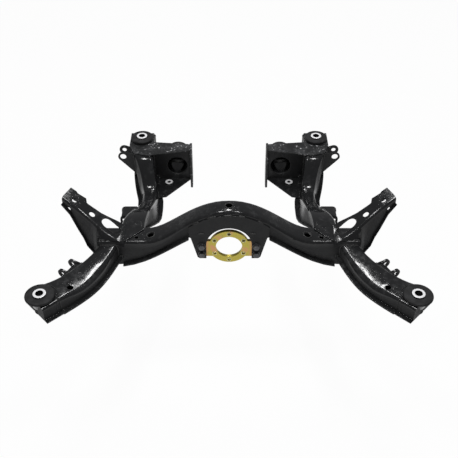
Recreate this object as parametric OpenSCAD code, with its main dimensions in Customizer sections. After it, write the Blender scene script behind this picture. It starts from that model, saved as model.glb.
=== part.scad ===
// Rear axle subframe: a welded frame of pressed steel shells with four rubber body bushes,
// an arched cross beam, two front arms, two rear legs, link brackets and a bolted adapter ring.
// X points to the right, Y to the rear and Z up. The origin lies midway between the front
// body mounts, on the plane of the four bush sleeves' top faces.

/* [Body mounts] */
// Distance between the two front body mounts
front_spacing = 950; // [900:1:1000]
// Distance between the two rear body mounts
rear_spacing = 562; // [540:1:600]
// Distance from the front body mounts to the rear ones
mount_length = 715; // [700:1:760]
// Outside diameter of a bush sleeve
sleeve_od = 34; // [28:0.5:38]
// Bore of a bush sleeve
sleeve_id = 20; // [12:0.5:22]
// Length of a bush sleeve
sleeve_length = 46; // [42:1:66]
// Diameter of a front bush's rubber collar
front_collar_od = 76; // [70:0.5:80]
// Diameter of a rear bush's rubber collar
rear_collar_od = 71; // [70:0.5:78]
// Height of the sleeve's top face over the rubber collar
collar_drop = 4; // [2:0.5:6]
// Thickness of the rubber collar
collar_thickness = 8; // [6:0.5:12]
// Outside diameter of a bush can at its top
can_od = 60; // [54:0.5:62]
// Wall of a bush can
can_wall = 2.5; // [2:0.25:4]
// Width of the rim at the top of a bush can
can_rim = 4; // [2:0.5:5]
// Outside diameter of a bush can at its lower end
can_end_od = 42; // [40:0.5:50]
// Length of a bush can under its rim
can_length = 26; // [22:1:36]

/* [Sheet metal] */
// Thickness of the pressed shells
sheet = 3; // [2:0.25:3.5]
// Thickness of the bracket plates
plate = 4; // [3:0.25:5]
// Outside radius of the pressed bends
bend = 9; // [6:0.5:11]
// Width of the seam flanges
flange = 11; // [8:0.5:13]
// Depth of the pan pressed into each lower shell
pan_depth = 8; // [4:0.5:10]

/* [Cross beam] */
// Half of the cross beam's length
beam_half = 355; // [345:1:365]
// Distance from the front mounts to the beam's front face
beam_front = 197; // [185:1:210]
// Front to rear depth of the beam at its ends
beam_depth = 65; // [60:1:72]
// Front to rear depth of the beam at its crown
crown_depth = 55; // [50:1:60]
// Height of the beam's top face at its ends
beam_end_top = -3; // [-6:0.5:-1]
// Rise of the top face from the ends to the crown
top_rise = 104; // [90:1:115]
// Half span of the top face's arch
top_span = 230; // [215:1:240]
// Height of the beam's seam at its ends
beam_end_seam = -83; // [-90:1:-78]
// Rise of the seam from the ends to the crown
seam_rise = 138; // [125:1:145]
// Half span of the seam's arch
seam_span = 315; // [300:1:330]
// Depth of the crease pressed along the front face
crease = 5; // [2:0.5:7]
// Diameter of the hole in the crown
crown_hole_d = 18; // [10:1:24]

/* [Adapter] */
// Thickness of the front plate with the two ears
ear_plate = 5; // [4:0.5:7]
// Half width of the front plate where it lies on the beam
ear_plate_half = 108; // [100:1:114]
// Radius of the arch between the ears
ear_arch_r = 62; // [58:1:64]
// Height of the centre of that arch
ear_arch_z = -13; // [-20:1:-8]
// Height of the ears' lower ends
ear_bottom = -58; // [-64:1:-54]
// Outside diameter of the adapter ring
ring_od = 110; // [104:1:116]
// Bore of the adapter ring
ring_id = 72; // [66:1:74]
// Thickness of the adapter ring
ring_thickness = 10; // [8:0.5:12]
// Height of the adapter ring's centre
ring_z = -21; // [-24:0.5:-18]
// Pitch circle of the ring's holes
ring_pcd = 91; // [88:0.5:94]
// Number of holes in the ring
ring_holes = 6; // [4:1:8]
// Diameter of the ring's holes
ring_hole_d = 9; // [6:0.5:11]
// Distance of the ear bolts from the middle
bolt_x = 74; // [71:0.5:77]
// Distance between the two bolts of an ear
bolt_pitch = 28; // [25:0.5:30]
// Diameter of the ear bolts
bolt_d = 10; // [8:1:12]
// Clearance of a bolt in its hole, on the diameter
bolt_clearance = 1; // [0.4:0.1:2]

/* [Front arms] */
// Distance from the middle to an arm's inner wall at the beam
arm_inner_x = 303; // [298:1:308]
// Half width of an arm at its body mount
arm_end_half = 40.5; // [40:0.5:44]
// Height of the seam between an arm's shells
arm_seam = -58; // [-62:0.5:-54]
// Drop of an arm's top face from its outer edge to its inner one
arm_slope = 10; // [4:0.5:12]
// Outside radius of the bend along an arm's inner edge
arm_bend = 15; // [9:0.5:16]
// Distance between the ears of an arm's link clevis
arm_clevis_gap = 38; // [30:1:42]
// Bolt hole of the arm's link clevis
arm_clevis_d = 12; // [10:0.5:14]
// Thickness of the ears of an arm's link clevis
arm_clevis_ear = 5; // [4:0.5:6]

/* [Rear legs] */
// Distance from the middle to a leg's middle at the beam
leg_root_x = 260; // [255:1:265]
// Distance from the middle to a leg's middle at its waist
leg_waist_x = 247; // [240:1:255]
// Half width of a leg's top at its waist
leg_waist_half = 19; // [16:0.5:24]
// Height of the leg's top at its lowest place
leg_dip = -100; // [-110:1:-90]
// Height of the seam along a leg's low part
leg_seam = -140; // [-146:1:-134]
// Height of the seam at a leg's tower
tower_seam = -118; // [-126:1:-114]
// Half width of the tower round a rear mount
tower_half = 40; // [38:0.5:43]
// Distance between the ears of a leg's link clevis
leg_clevis_gap = 36; // [30:1:40]
// Bolt hole of the leg's link clevis
leg_clevis_d = 12; // [10:0.5:14]

/* [Towers] */
// Distance between the two plates of a tower's link clevis
tower_clevis_gap = 35; // [30:1:40]
// Bolt hole in the front plate of the tower clevis
tower_front_d = 20; // [14:0.5:21]
// Bolt hole in the rear plate of the tower clevis
tower_rear_d = 14; // [10:0.5:16]
// Outside diameter of the bush eye in the inner bracket
eye_od = 74; // [68:1:78]
// Bore of the bush eye
eye_id = 67; // [60:1:68]
// Length of the bush eye
eye_length = 66; // [56:1:70]
// Outside diameter of the collar on the shelf
stud_od = 25; // [20:0.5:28]
// Bore of the collar on the shelf
stud_id = 11; // [8:0.5:14]
// Height of the collar on the shelf
stud_height = 8; // [6:0.5:12]

/* [Horns] */
// Angle of a horn to the rear, in plan
horn_angle = 23; // [20:0.5:26]
// Length of a horn from its middle point to its tip
horn_length = 165; // [160:1:172]
// Height of a horn's tip
horn_tip_z = 92; // [85:1:98]
// Pivot hole near the horn's tip
horn_pivot_d = 10; // [8:0.5:11]

/* [Hidden] */
$fn = 48;
paint = "#1d1e20";
raw_grey = "#6d6e70";
rubber_black = "#2b2b2c";
bright_steel = "#d9dadc";
bolt_grey = "#3a3b3d";
zinc_gold = "#a89a3c";
far = 400;
bend_steps = 3;
weld_gap = 0.1;

// Places shared by the pieces
front_x = front_spacing / 2;
rear_x = rear_spacing / 2;
collar_bottom = -collar_drop - collar_thickness;
seat = collar_bottom - sheet;
tower_top = seat - plate;
beam_rear = beam_front + beam_depth;
tower_front_y = mount_length - 79;
tower_rear_y = mount_length + 37;
web_y = mount_length - 55;
web_front_x = rear_x - tower_half;
end_flange_x = 122;
end_flange_thickness = 7;
shelf_z = leg_seam + 10;

// Curves
function lerp(a, b, t) = a + (b - a) * t;
function ease(t) = let (s = min(1, max(0, t))) s * s * (3 - 2 * s);
function bezier(p, t) =
  pow(1 - t, 3) * p[0] + 3 * t * pow(1 - t, 2) * p[1] + 3 * t * t * (1 - t) * p[2] + pow(t, 3) * p[3];
function arc(centre, r, from, to, steps = bend_steps) =
  [for (i = [0:steps]) let (a = lerp(from, to, i / steps)) centre + r * [cos(a), sin(a)]];
function flip(points) = [for (i = [len(points) - 1:-1:0]) [-points[i][0], points[i][1]]];

// Half of a pressed hat section, from the middle of its top out to its seam flange and back inside
function half_hat(top, foot, low, high, r = bend, lip = flange) =
  let (
    lean = atan2(foot - top, high - low),
    centre = [top - r * (1 - sin(lean)) / cos(lean), high - r],
    toe = foot - sheet * tan(lean)
  )
  concat(
    arc(centre, r, 90, lean),
    [[toe, low + sheet], [toe + lip, low + sheet], [toe + lip, low], [foot - sheet / cos(lean), low]],
    arc(centre, r - sheet, lean, 90)
  );

// The same half section filled, for trimming what is welded to it
function half_filled(top, foot, low, high, r = bend) =
  let (lean = atan2(foot - top, high - low))
  concat(
    arc([top - r * (1 - sin(lean)) / cos(lean), high - r], r, 90, lean),
    [
      [foot - sheet * tan(lean), low + sheet], [foot + flange, low + sheet],
      [foot + flange, low - sheet - pan_depth]
    ]
  );

// Half of a lower shell's pan section, from the middle outwards and back
function half_pan(foot, low, inset = 2 * flange, lip = flange) =
  [
    [foot - inset, low - pan_depth], [foot - inset / 2, low], [foot + lip, low],
    [foot + lip, low - sheet], [foot - inset / 2, low - sheet], [foot - inset, low - pan_depth - sheet]
  ];

// Flat faces over a ring whose points run out along one side of a section and back along the other
function strip(m, from, steps) = [
  for (j = [0:steps - 1])
    each [[from + j, from + j + 1, from + m - 2 - j], [from + j, from + m - 2 - j, from + m - 1 - j]]
];

// End faces of a ring of one piece, of a ring of two half sections and of a filled ring
function cap_single(n) = strip(n, 0, floor(n / 2));
function cap_halves(n) =
  let (m = n / 2)
  concat(strip(m, 0, floor(m / 2)), strip(m, m, floor(m / 2)), [[n - 1, 0, m - 1], [n - 1, m - 1, m]]);
function cap_filled(n) =
  let (m = n / 2)
  concat(strip(n, 0, m - 3), [[m - 1, m, m + 1], [m - 1, m + 1, m + 2], [m - 1, m + 2, m - 3], [m - 1, m - 3, m - 2]]);

// Solid skin over a row of like rings. Between the two turned places of a ring, its inner side, the faces
// are split along the other diagonal, so that both sides of a wall bend alike. Where points fall
// together, the flat faces are left out.
module skin(rings, cap, turned) {
  n = len(rings[0]);
  last = (len(rings) - 1) * n;
  points = [for (r = rings) each r];
  function apart(a, b) = norm(points[a] - points[b]) > 0.001;
  function whole(faces) =
    [for (f = faces) if (apart(f[0], f[1]) && apart(f[1], f[2]) && apart(f[2], f[0])) f];
  sides = [
    for (i = [0:len(rings) - 2], j = [0:n - 1])
      let (a = i * n + j, b = i * n + (j + 1) % n)
      each j >= turned[0] && j <= turned[1] ? [[a, b, a + n], [b, b + n, a + n]] : [[a, b, b + n], [a, b + n, a + n]]
  ];
  start = [for (f = cap) [f[2], f[1], f[0]]];
  end = [for (f = cap) [f[0] + last, f[1] + last, f[2] + last]];
  polyhedron(points, whole(concat(sides, start, end)), convexity = 10);
}

module skin_halves(rings) {
  n = len(rings[0]);
  inside = floor(n / 4);
  skin(rings, cap_halves(n), [inside, n - 2 - inside]);
}

module skin_single(rings) {
  n = len(rings[0]);
  skin(rings, cap_single(n), [n / 2, n]);
}

module skin_filled(rings) {
  n = len(rings[0]);
  skin(rings, cap_filled(n), [n, n]);
}

// Cross beam lines
function beam_top(x) = beam_end_top + top_rise * (1 + cos(180 * min(1, pow(abs(x) / top_span, 1.15)))) / 2;
function beam_seam(x) = beam_end_seam + seam_rise * (1 + cos(180 * min(1, pow(abs(x) / seam_span, 0.95)))) / 2;
function beam_back(x) = beam_front + lerp(crown_depth, beam_depth, ease((abs(x) - 40) / 130));
lip_end = arm_inner_x - flange;
lip_rear_end = leg_root_x - 60;
crease_start = ear_plate_half + 12;
crease_end = lip_end - 40;
function beam_crease(x) =
  crease * ease((abs(x) - crease_start) / 70) * (1 - ease((abs(x) - crease_end) / (lip_end - crease_end)));
function beam_half_depth(x) = (beam_back(x) - beam_front) / 2;
function beam_hat(x, bulge, lip) =
  let (
    w = beam_half_depth(x),
    low = beam_seam(x),
    centre = [w - bend, beam_top(x) - bend],
    waist = [w + bulge, (low + beam_top(x)) / 2]
  )
  concat(
    arc(centre, bend, 90, 0),
    [waist, [w, low + sheet], [w + lip, low + sheet], [w + lip, low], [w, low], [w - sheet, low], waist - [sheet, 0]],
    arc(centre, bend - sheet, 0, 90)
  );
function beam_pan(x, lip) =
  let (w = beam_half_depth(x), low = beam_seam(x))
  [
    [w - 2 * flange, low - pan_depth], [w - flange, low], [w, low], [w + lip, low],
    [w + lip, low - sheet], [w, low - sheet], [w - flange, low - sheet], [w - 2 * flange, low - pan_depth - sheet]
  ];
function beam_ring(x, front_half, rear_half) =
  let (middle = (beam_front + beam_back(x)) / 2)
  [for (p = concat(rear_half, flip(front_half))) [x, middle + p[0], p[1]]];

// The beam's stations from the middle to the right: distance, front lip and rear lip. A place where
// a lip starts or stops has two stations, so that the lip ends square.
beam_right = concat(
  [for (i = [1:6]) [lerp(0, ear_plate_half, i / 6), 0, flange]],
  [for (i = [0:5]) [lerp(ear_plate_half, lip_rear_end, i / 5), flange, flange]],
  [for (x = [lip_rear_end, lerp(lip_rear_end, top_span, 0.5), top_span, lerp(top_span, lip_end, 0.5), lip_end]) [x, flange, 0]],
  [for (i = [0:3]) [lerp(lip_end, beam_half, i / 3), 0, 0]]
);
beam_stations = concat(
  [for (i = [len(beam_right) - 1:-1:0]) [-beam_right[i][0], beam_right[i][1], beam_right[i][2]]],
  [[0, 0, flange]],
  beam_right
);

module cross_beam_upper() {
  color(paint)
    difference() {
      skin_halves([
        for (s = beam_stations)
          beam_ring(s[0], beam_hat(s[0], beam_crease(s[0]), s[1]), beam_hat(s[0], 0, s[2]))
      ]);
      translate([0, beam_front + crown_depth / 2, beam_top(0) - bend])
        cylinder(d = crown_hole_d, h = 2 * bend);
      for (side = [0, 1])
        mirror([side, 0, 0]) {
          translate([leg_root_x - 8, beam_front + 18, beam_end_top - bend])
            cylinder(d = 11, h = 2 * bend);
          translate([leg_root_x - 46, beam_front + 27, beam_end_top - bend])
            cylinder(d = 16, h = 3 * bend);
        }
    }
}

module cross_beam_lower() {
  color(paint)
    skin_halves([
      for (s = beam_stations)
        beam_ring(s[0], beam_pan(s[0], s[1]), beam_pan(s[0], s[2]))
    ]);
}

module cross_beam_end_plates() {
  color(paint)
    for (side = [0, 1])
      mirror([side, 0, 0])
        translate([beam_half, beam_front, beam_end_seam - sheet])
          cube([sheet, beam_depth, beam_end_top - beam_end_seam + sheet]);
}

// Front plate with ears, drawn in X and Z
ear_foot = ear_arch_r + 24;
plate_top_inset = bend + 2;
ear_edge = [
  [ear_arch_r, ear_bottom], [ear_foot - 6, ear_bottom], [ear_foot, ear_bottom + 5],
  [ear_plate_half - 5, beam_seam(ear_plate_half)], [ear_plate_half, beam_seam(ear_plate_half) + sheet]
];
plate_steps = 16;
module ear_plate_outline() {
  polygon(concat(
    ear_edge,
    [for (i = [0:plate_steps]) let (x = lerp(ear_plate_half, -ear_plate_half, i / plate_steps)) [x, beam_top(x) - plate_top_inset]],
    flip(ear_edge),
    arc([0, ear_arch_z], ear_arch_r, 180, 0, 24)
  ));
}

// Stands a drawing in X and Z upright, with its rear face at the given distance
module upright(rear, thickness) {
  translate([0, rear, 0])
    rotate([90, 0, 0])
      linear_extrude(thickness)
        children();
}

function bolt_heights() = [ring_z - 6 + bolt_pitch / 2, ring_z - 6 - bolt_pitch / 2];
module at_bolts() {
  for (x = [-bolt_x, bolt_x], z = bolt_heights())
    translate([x, z])
      children();
}

module diff_mount_plate() {
  color(paint)
    upright(beam_front, ear_plate)
      difference() {
        ear_plate_outline();
        at_bolts()
          circle(d = bolt_d + bolt_clearance);
      }
}

ring_tab_half = bolt_x + 11;
ring_tab_height = bolt_pitch + 26;
module adapter_ring() {
  color(zinc_gold)
    upright(beam_front + ring_thickness, ring_thickness)
      difference() {
        union() {
          translate([0, ring_z])
            circle(d = ring_od, $fn = 96);
          translate([-ring_tab_half, ring_z - 6 - ring_tab_height / 2])
            square([2 * ring_tab_half, ring_tab_height]);
        }
        translate([0, ring_z])
          circle(d = ring_id, $fn = 96);
        for (i = [0:ring_holes - 1])
          translate([0, ring_z])
            rotate(90 + i * 360 / ring_holes)
              translate([ring_pcd / 2, 0])
                circle(d = ring_hole_d);
        at_bolts()
          circle(d = bolt_d + bolt_clearance);
      }
}

head_washer = 2;
head_height = 0.8 * bolt_d;
nut_height = 0.8 * bolt_d;
hex_d = 1.75 * bolt_d;
ear_front = beam_front - ear_plate;
module adapter_bolts() {
  color(bolt_grey) {
    upright(ear_front, head_washer)
      at_bolts()
        circle(d = 2.1 * bolt_d);
    upright(ear_front - head_washer, head_height)
      at_bolts()
        circle(d = hex_d, $fn = 6);
    upright(beam_front + ring_thickness + nut_height + 3, ear_plate + ring_thickness + nut_height + 3)
      at_bolts()
        circle(d = bolt_d);
  }
}

module adapter_nuts() {
  color(bolt_grey)
    upright(beam_front + ring_thickness + nut_height, nut_height)
      at_bolts()
        difference() {
          circle(d = hex_d, $fn = 6);
          circle(d = bolt_d);
        }
}

// Front arm, drawn for the left side between an inner and an outer edge in plan
arm_turn = 47;
arm_end_side = [cos(arm_turn), -sin(arm_turn)];
arm_end_back = [sin(arm_turn), cos(arm_turn)];
socket_length = can_od / 2 + 1;
socket_front = 19;
arm_end = [-front_x, 0] + socket_length * arm_end_back;
arm_inner = let (a = [-arm_inner_x, beam_front], b = arm_end + arm_end_half * arm_end_side)
  [a, a + [-36, -114], b + 100 * arm_end_back, b];
arm_outer = let (a = [-beam_half, beam_front], b = arm_end - arm_end_half * arm_end_side)
  [a, a + [-25, -62], b + [48, 21], b];
arm_steps = 10;
function arm_ring(t, inner_half, outer_half) =
  let (
    inner = bezier(arm_inner, t),
    outer = bezier(arm_outer, t),
    across = (inner - outer) / norm(outer - inner),
    middle = (inner + outer) / 2
  )
  [
    for (p = concat(inner_half, flip(outer_half)))
      [middle[0] + across[0] * p[0], middle[1] + across[1] * p[0], p[1]]
  ];
function arm_half(t) = norm(bezier(arm_outer, t) - bezier(arm_inner, t)) / 2;
function arm_swell(t) = ease(t / 0.3) * (1 - ease((t - 0.7) / 0.3));
function arm_inner_top(t) = seat - arm_slope * arm_swell(t);
function arm_inner_bend(t) = lerp(bend, arm_bend, arm_swell(t));
arm_stations = [for (i = [0:arm_steps]) i / arm_steps];

module at_front_mount() {
  translate([-front_x, 0, 0])
    children();
}

module can_bore() {
  translate([0, 0, seat - can_length])
    cylinder(d1 = can_end_od, d2 = can_od, h = can_length, $fn = 96);
  translate([0, 0, seat - far])
    cylinder(d = can_end_od, h = far, $fn = 96);
}

module can_hole() {
  translate([0, 0, seat - bend])
    cylinder(d = can_od, h = 2 * bend, $fn = 96);
}

module left_arm_upper() {
  color(paint)
    difference() {
      skin_halves([
        for (t = arm_stations)
          arm_ring(
            t,
            half_hat(arm_half(t), arm_half(t), arm_seam, arm_inner_top(t), arm_inner_bend(t)),
            half_hat(arm_half(t), arm_half(t), arm_seam, seat)
          )
      ]);
      translate([-front_x + 68, 41, seat - 2 * bend])
        cylinder(d = 16, h = 3 * bend);
    }
}

module left_arm_lower() {
  color(paint)
    skin_halves([for (t = arm_stations) let (half = half_pan(arm_half(t), arm_seam)) arm_ring(t, half, half)]);
}

// Socket at the arm's end, with the arm's own section, that takes the bush can past half its width
module left_bush_socket() {
  half = half_hat(arm_end_half, arm_end_half, arm_seam, seat);
  color(paint)
    at_front_mount()
      difference() {
        rotate([0, 0, -arm_turn]) {
          upright(socket_length, socket_length + socket_front)
            polygon(concat(half, flip(half)));
          translate([-arm_end_half + sheet / 2, -socket_front, arm_seam])
            cube([2 * arm_end_half - sheet, sheet, seat - arm_seam - sheet / 2]);
        }
        can_bore();
      }
}

module arm_filled(from, to) {
  skin_filled([
    for (t = arm_stations)
      if (t > from && t < to)
        arm_ring(
          t,
          half_filled(arm_half(t), arm_half(t), arm_seam, arm_inner_top(t), arm_inner_bend(t)),
          half_filled(arm_half(t), arm_half(t), arm_seam, seat)
        )
  ]);
}

// Link clevis welded to the arm's outer wall, with its bolt along the arm
arm_clevis_place = 0.48;
arm_clevis_reach = 24;
arm_clevis_z = seat - 16;
module ear_shape(reach, z, tip_r, root_low, hole) {
  difference() {
    union() {
      translate([reach, z])
        circle(r = tip_r);
      polygon([
        [0, z + 0.9 * tip_r], [reach, z + 0.9 * tip_r], [reach + 0.6 * tip_r, z - 0.6 * tip_r], [0, root_low]
      ]);
    }
    translate([reach, z])
      circle(d = hole);
  }
}

module left_arm_clevis() {
  inner = bezier(arm_inner, arm_clevis_place);
  outer = bezier(arm_outer, arm_clevis_place);
  out = (outer - inner) / norm(outer - inner);
  root = 12;
  base = outer - root * out;
  width = arm_clevis_gap + 2 * arm_clevis_ear;
  color(paint)
    difference() {
      translate([base[0], base[1], 0])
        rotate([0, 0, atan2(out[1], out[0])]) {
          for (v = [-width / 2, arm_clevis_gap / 2])
            upright(v + arm_clevis_ear, arm_clevis_ear)
              ear_shape(root + arm_clevis_reach, arm_clevis_z, 14, arm_seam + 8, arm_clevis_d);
          translate([0, -width / 2, arm_seam + 10])
            cube([root + 2 * plate, width, seat - arm_seam - 16]);
          translate([0, -width / 2, arm_clevis_z - 14])
            cube([root + arm_clevis_reach + plate, width, plate]);
        }
      arm_filled(arm_clevis_place - 0.3, arm_clevis_place + 0.3);
    }
}

// Rear leg, drawn for the left side with a section at each distance to the rear
leg_root_half = 40;
leg_root_inner = 36;
leg_root_tuck = -8;
tower_tuck = 22;
waist_y = lerp(beam_rear, mount_length, 0.42);
rise_start = tower_front_y - 84;
sway_start = rise_start - 22;
sway_end = mount_length - 25;
swell_start = rise_start + 14;
swell_end = mount_length - 15;
function leg_x(y) =
  -lerp(leg_root_x, leg_waist_x, ease((y - beam_rear) / (waist_y - beam_rear)))
  - (rear_x - leg_waist_x) * ease((y - sway_start) / (sway_end - sway_start));
function leg_swell(y, root, waist, tower) =
  lerp(root, waist, ease((y - beam_rear) / (waist_y - beam_rear)))
  + (tower - waist) * ease((y - swell_start) / (swell_end - swell_start));
function leg_top_half(y) = leg_swell(y, leg_root_half, leg_waist_half, tower_half);
function leg_inner_top(y) = leg_swell(y, leg_root_inner, leg_waist_half, tower_half);
function leg_inner_half(y) = leg_swell(y, leg_root_tuck, leg_waist_half + 10, tower_half);
function leg_outer_half(y) = leg_swell(y, leg_root_half + 6, leg_waist_half + 10, tower_half - tower_tuck);
leg_root_top = beam_end_top;
leg_root_seam = beam_seam(leg_root_x - leg_root_half) - sheet;
function leg_top(y) =
  lerp(leg_root_top, leg_dip, ease((y - beam_rear - 22) / (rise_start - beam_rear - 22)))
  + (tower_top - leg_dip) * ease((y - rise_start - 2) / (tower_front_y - rise_start - 6));
lift_start = tower_front_y - 36;
lift_end = mount_length - 35;
function leg_low(y) =
  lerp(leg_root_seam, leg_seam, ease((y - beam_rear) / (sway_start - beam_rear - 28)))
  + (tower_seam - leg_seam) * ease((y - lift_start) / (lift_end - lift_start));
leg_stations = concat(
  [for (i = [0:9]) lerp(beam_rear, rise_start, i / 9)],
  [for (i = [1:8]) lerp(rise_start, tower_front_y, i / 8)],
  [for (i = [1:4]) lerp(tower_front_y, swell_end, i / 4)],
  [tower_rear_y]
);
function leg_lip(y) = lerp(1, flange, ease((y - beam_rear) / (waist_y - beam_rear)));
function leg_inset(y) = min(2 * flange, 0.4 * (leg_outer_half(y) + leg_inner_half(y)));
function leg_ring(y, outer, inner) = [for (p = concat(outer, flip(inner))) [leg_x(y) - p[0], y, p[1]]];

module at_rear_mount() {
  translate([-rear_x, mount_length, 0])
    children();
}

module left_leg_upper() {
  color(paint)
    difference() {
      skin_halves([
        for (y = leg_stations)
          leg_ring(
            y,
            half_hat(leg_top_half(y), leg_outer_half(y), leg_low(y), leg_top(y)),
            half_hat(leg_inner_top(y), leg_inner_half(y), leg_low(y), leg_top(y), bend, leg_lip(y))
          )
      ]);
      at_rear_mount()
        can_hole();
    }
}

module left_leg_lower() {
  color(paint)
    skin_halves([
      for (y = leg_stations)
        leg_ring(
          y,
          half_pan(leg_outer_half(y), leg_low(y), leg_inset(y)),
          half_pan(leg_inner_half(y), leg_low(y), leg_inset(y), leg_lip(y))
        )
    ]);
}

module leg_filled(from, to) {
  last = len(leg_stations) - 1;
  skin_filled([
    for (i = [0:last])
      let (y = leg_stations[i])
      if (leg_stations[min(i + 1, last)] > from && leg_stations[max(i - 1, 0)] < to)
        leg_ring(
          y,
          half_filled(leg_top_half(y), leg_outer_half(y), leg_low(y), leg_top(y)),
          half_filled(leg_inner_top(y), leg_inner_half(y), leg_low(y), leg_top(y))
        )
  ]);
}

// Link bracket welded to the leg's outer wall, folded to a channel that is open below
leg_clevis_y = beam_rear + 80;
leg_clevis_reach = 34;
leg_clevis_z = -47;
leg_clevis_top = leg_clevis_z + 17;
module left_leg_clevis() {
  base = -leg_root_x - 8;
  width = leg_clevis_gap + 2 * plate;
  tip = leg_clevis_reach + 12;
  color(paint)
    difference() {
      translate([base, leg_clevis_y, 0])
        mirror([1, 0, 0])
          difference() {
            upright(width, width)
              polygon([
                [0, leg_clevis_z - 34], [leg_clevis_reach - 8, leg_clevis_z - 16], [tip - 4, leg_clevis_z - 14],
                [tip, leg_clevis_z - 10],
                for (p = arc([tip - 12, leg_clevis_top - 12], 12, 0, 90)) p,
                [0, leg_clevis_top]
              ]);
            translate([-plate, plate, leg_clevis_top - plate - far])
              cube([far, leg_clevis_gap, far]);
            translate([leg_clevis_reach, 2 * width, leg_clevis_z])
              rotate([90, 0, 0])
                cylinder(d = leg_clevis_d, h = 3 * width);
          }
      leg_filled(leg_clevis_y, leg_clevis_y + width);
    }
}

module left_tower_back() {
  color(paint)
    translate([-rear_x, tower_rear_y, 0])
      upright(sheet, sheet)
        polygon([
          [tower_tuck - tower_half, tower_seam - sheet], [tower_half, tower_seam - sheet],
          for (p = arc([tower_half - bend, tower_top - bend], bend, 0, 90)) p,
          for (p = arc([bend - tower_half, tower_top - bend], bend, 90, 180)) p
        ]);
}

// Cap plate of the tower, which runs inboard as the inner bracket's top flange
module left_tower_cap() {
  color(raw_grey)
    difference() {
      translate([0, 0, tower_top])
        linear_extrude(plate)
          polygon([
            [-rear_x - tower_half + 2, tower_rear_y], [-rear_x - tower_half + 2, sway_end - 8],
            [leg_x(tower_front_y) - leg_top_half(tower_front_y), tower_front_y + 3],
            [-rear_x + 0.55 * tower_half, tower_front_y - 11], [-end_flange_x - plate, web_y - 7],
            [-end_flange_x - plate, web_y + 0.7 * tower_half], [-web_front_x - 4, web_y + tower_half],
            [-web_front_x - 4, tower_rear_y]
          ]);
      at_rear_mount()
        can_hole();
    }
}

// Link clevis of the tower: two plates, trimmed to the tower's wall, with their bolt to the rear
tower_clevis_x = -rear_x - tower_half - 15;
tower_clevis_r = 16;
tower_clevis_z = tower_top - 11;
module tower_clevis_plate(front, hole, drop) {
  wall = leg_x(front) - leg_top_half(front);
  color(paint)
    difference() {
      translate([tower_clevis_x, 0, 0])
        mirror([1, 0, 0])
          upright(front + plate, plate)
            difference() {
              polygon(concat(
                [[tower_clevis_x - wall - 4 * plate, tower_clevis_z - drop]],
                arc([0, tower_clevis_z], tower_clevis_r, -32, 100, 10),
                [[tower_clevis_x - wall, tower_top], [tower_clevis_x - wall - 2 * plate, tower_top]]
              ));
              translate([0, tower_clevis_z])
                circle(d = hole);
            }
      leg_filled(front, front + plate);
    }
}

module left_tower_clevis_front() {
  tower_clevis_plate(tower_front_y + 2, tower_front_d, 78);
}

module left_tower_clevis_rear() {
  tower_clevis_plate(tower_front_y + 2 + plate + tower_clevis_gap, tower_rear_d, 46);
}

// Inner bracket: web with the bush eye, shelf with the threaded collar and end flange
eye_x = (web_front_x + end_flange_x) / 2 - 14;
eye_z = tower_top - 62;
module left_inner_web() {
  color(paint)
    difference() {
      upright(web_y + plate, plate)
        difference() {
          polygon([
            [-rear_x, tower_top], [-rear_x, shelf_z], [-end_flange_x - plate, shelf_z],
            [-end_flange_x - plate, tower_top]
          ]);
          translate([-eye_x, eye_z])
            circle(d = eye_id, $fn = 96);
        }
      leg_filled(web_y, web_y + plate);
    }
}

module left_bush_eye() {
  color(paint)
    upright(web_y + plate + eye_length, eye_length)
      translate([-eye_x, eye_z])
        difference() {
          circle(d = eye_od, $fn = 96);
          circle(d = eye_id, $fn = 96);
        }
}

stud_x = (web_front_x + end_flange_x) / 2 + 13;
stud_y = web_y - 1.2 * stud_od;
module left_inner_shelf() {
  color(paint)
    difference() {
      translate([0, 0, shelf_z - plate])
        linear_extrude(plate)
          polygon([
            [-rear_x, web_y + plate], [-end_flange_x - plate, web_y + plate], [-end_flange_x - plate, web_y - 4],
            [-leg_waist_x + leg_waist_half + 28, rise_start + 10], [-leg_waist_x, rise_start]
          ]);
      leg_filled(rise_start, web_y + plate);
      translate([-stud_x, stud_y, shelf_z - 2 * plate])
        cylinder(d = stud_id, h = 3 * plate);
    }
}

module left_shelf_collar() {
  color(bright_steel)
    translate([-stud_x, stud_y, shelf_z])
      linear_extrude(stud_height)
        difference() {
          circle(d = stud_od);
          circle(d = stud_id);
        }
}

module left_end_flange() {
  color(raw_grey)
    translate([-end_flange_x - plate, 0, 0])
      rotate([90, 0, 90])
        linear_extrude(end_flange_thickness)
          polygon([
            [web_y - 8, seat], [web_y + 34, seat], [web_y + 34, shelf_z], [web_y + 12, shelf_z - 33],
            [web_y - 8, shelf_z - 33]
          ]);
}

// Horn: a pressed bracket that rises outboard, with its front wall turned down. Its places are given
// along the horn, across it to the front, and up. Its inboard end is cut square to the beam.
horn_base = [-leg_root_x - 30, beam_front + 35];
horn_out = [-cos(horn_angle), sin(horn_angle)];
horn_front = [-sin(horn_angle), -cos(horn_angle)];
horn_start = -6;
horn_edge_x = horn_base[0] + horn_start * horn_out[0];
horn_width = 36;
horn_rise_end = horn_length - 50;
horn_crest = horn_tip_z - 20;
horn_foot = beam_end_top + sheet;
horn_top_line = [
  [horn_start, horn_foot], [8, horn_foot], [45, horn_foot + 24], [horn_rise_end, horn_crest], [horn_length, horn_tip_z]
];
horn_low_line = [
  [horn_start, seat - 6], [45, seat - 6], [58, -60], [78, -60], [94, -46], [103, -19], [122, 16], [horn_rise_end + 24, horn_crest - 24],
  [horn_length, horn_tip_z - 22]
];
horn_back_line = [[horn_start, 36], [18, 29], [68, 10], [111, 4], [128, 9], [148, 20], [horn_length, 21]];
horn_front_line = [[horn_start, horn_width], [horn_rise_end, horn_width - 1], [horn_length, horn_width - 9]];
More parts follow.
